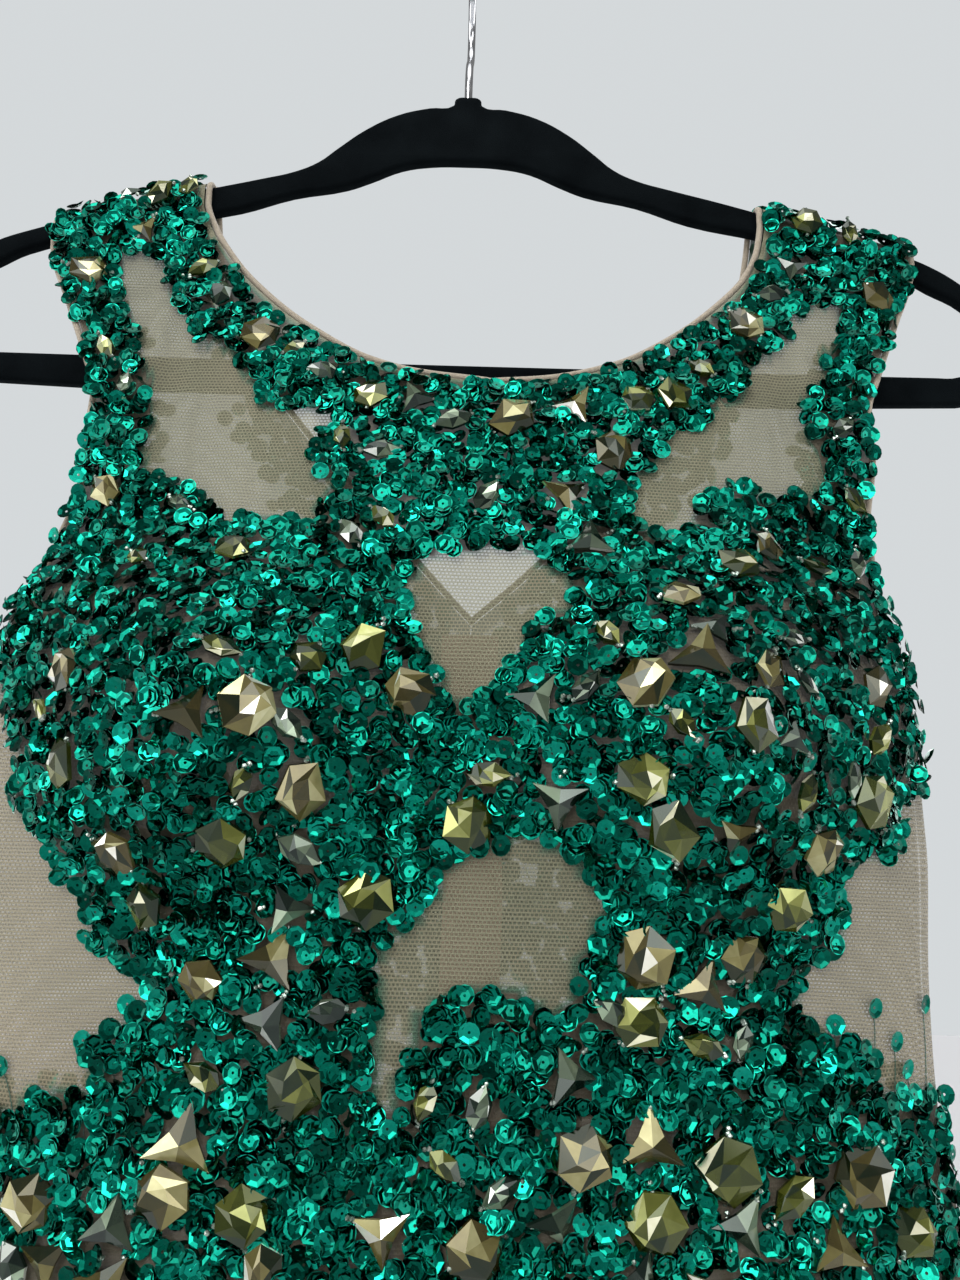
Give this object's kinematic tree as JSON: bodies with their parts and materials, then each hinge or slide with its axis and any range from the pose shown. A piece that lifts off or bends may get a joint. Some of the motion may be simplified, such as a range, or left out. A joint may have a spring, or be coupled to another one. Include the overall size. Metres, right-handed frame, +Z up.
{
  "type": "evening gown on a hanger",
  "caption": "Floor-length sleeveless gown of sheer nude tulle with green sequins and faceted stones, scoop front and V back, hung on a black flocked hanger.",
  "frame": {"origin": "underside of the hook's crown, where a rail carries the hanger", "axes": "+Z up, front towards -Y, the gown's left and right along X"},
  "size_m": [0.66, 0.1661, 1.6036],
  "materials": {
    "tulle": "sheer nude net",
    "edge": "rolled nude edge",
    "tape": "woven peach tape",
    "slider": "satin nude enamel",
    "velvet": "black flock",
    "chrome": "polished",
    "sequin": "metallised emerald",
    "stone": "faceted, foiled behind",
    "bead": "clear",
    "thread": "twisted thread"
  },
  "bodies": {
    "gown": {"front": "tulle", "back_left": "tulle", "back_right": "tulle", "neck_binding_front": "edge", "neck_binding_back_left": "edge", "neck_binding_back_right": "edge", "armhole_binding_left": "edge", "armhole_binding_right": "edge", "zip_tape": "tape", "zip_slider": "slider", "hanger": "velvet", "hook": "chrome"},
    "zip_pull": {"zip_pull": "slider"}
  },
  "joints": [
    {"name": "zip_pull_swing", "type": "hinge", "parent": "gown", "child": "zip_pull", "pos_m": [0.00772, 0.03416, -0.309], "axis": [1, 0, 0], "range_deg": [0, 150]}
  ]
}
